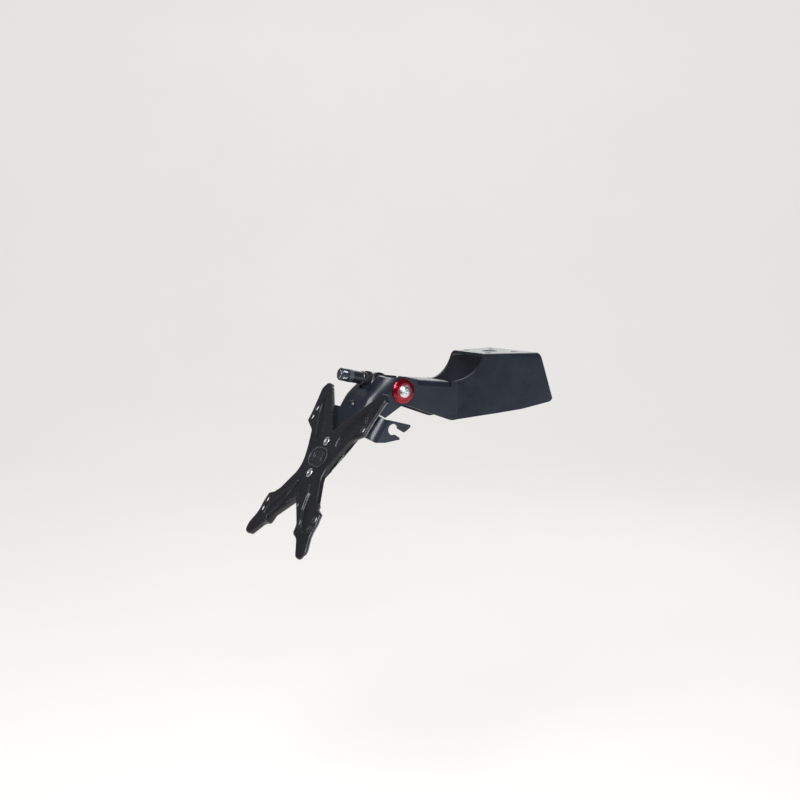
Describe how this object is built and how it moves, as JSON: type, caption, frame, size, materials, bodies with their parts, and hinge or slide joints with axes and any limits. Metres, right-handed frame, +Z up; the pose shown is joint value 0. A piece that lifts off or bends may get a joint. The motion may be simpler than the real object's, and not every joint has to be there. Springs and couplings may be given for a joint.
{
  "type": "motorcycle tail tidy",
  "caption": "Motorbike number-plate holder: folded steel arm, tilting hanger with indicator wings, X-shaped plate carrier and a small plate lamp.",
  "frame": {"origin": "centre of the four fixing holes, on top of the arm's mounting face", "axes": "+X the bike's right, +Y the bike's front, +Z up"},
  "size_m": [0.1326, 0.2972, 0.1786],
  "materials": {
    "sheet_black": "satin black powder coat",
    "cast_black": "cast, matte black coat",
    "washer_red": "glossy red anodised",
    "nylon_black": "nylon",
    "stainless": "bright stainless steel",
    "screw_black": "black oxide",
    "zinc": "zinc plated",
    "lamp_black": "black anodised",
    "lamp_collar": "dark anodised",
    "lens_clear": "clear, milky",
    "reflector": "mirror bright",
    "rubber_black": "moulded rubber"
  },
  "bodies": {
    "bracket": {"main_bracket": "sheet_black", "pivot_bolt_right": "stainless", "pivot_bolt_left": "stainless", "cup_washer_right": "washer_red", "cup_washer_left": "washer_red", "friction_washer_right": "nylon_black", "friction_washer_left": "nylon_black", "nut_washer_right": "zinc", "nut_washer_left": "zinc", "pivot_nut_right": "zinc", "pivot_nut_left": "zinc"},
    "hanger": {"hanger": "sheet_black", "plate_carrier": "cast_black", "centre_disc": "cast_black", "lamp_bracket": "sheet_black", "carrier_screw_upper": "stainless", "carrier_screw_lower": "stainless", "carrier_nut_upper": "zinc", "carrier_nut_lower": "zinc", "bracket_screw": "screw_black", "bracket_nut": "zinc", "lamp_body": "lamp_black", "lamp_lens": "lens_clear", "lamp_reflector": "reflector", "lamp_collar": "lamp_collar", "lamp_gasket": "rubber_black", "lamp_nut": "zinc"}
  },
  "joints": [
    {"name": "plate_tilt", "type": "hinge", "parent": "bracket", "child": "hanger", "pos_m": [0, -0.122, -0.033], "axis": [1, 0, 0], "range_deg": [-15, 15]}
  ]
}
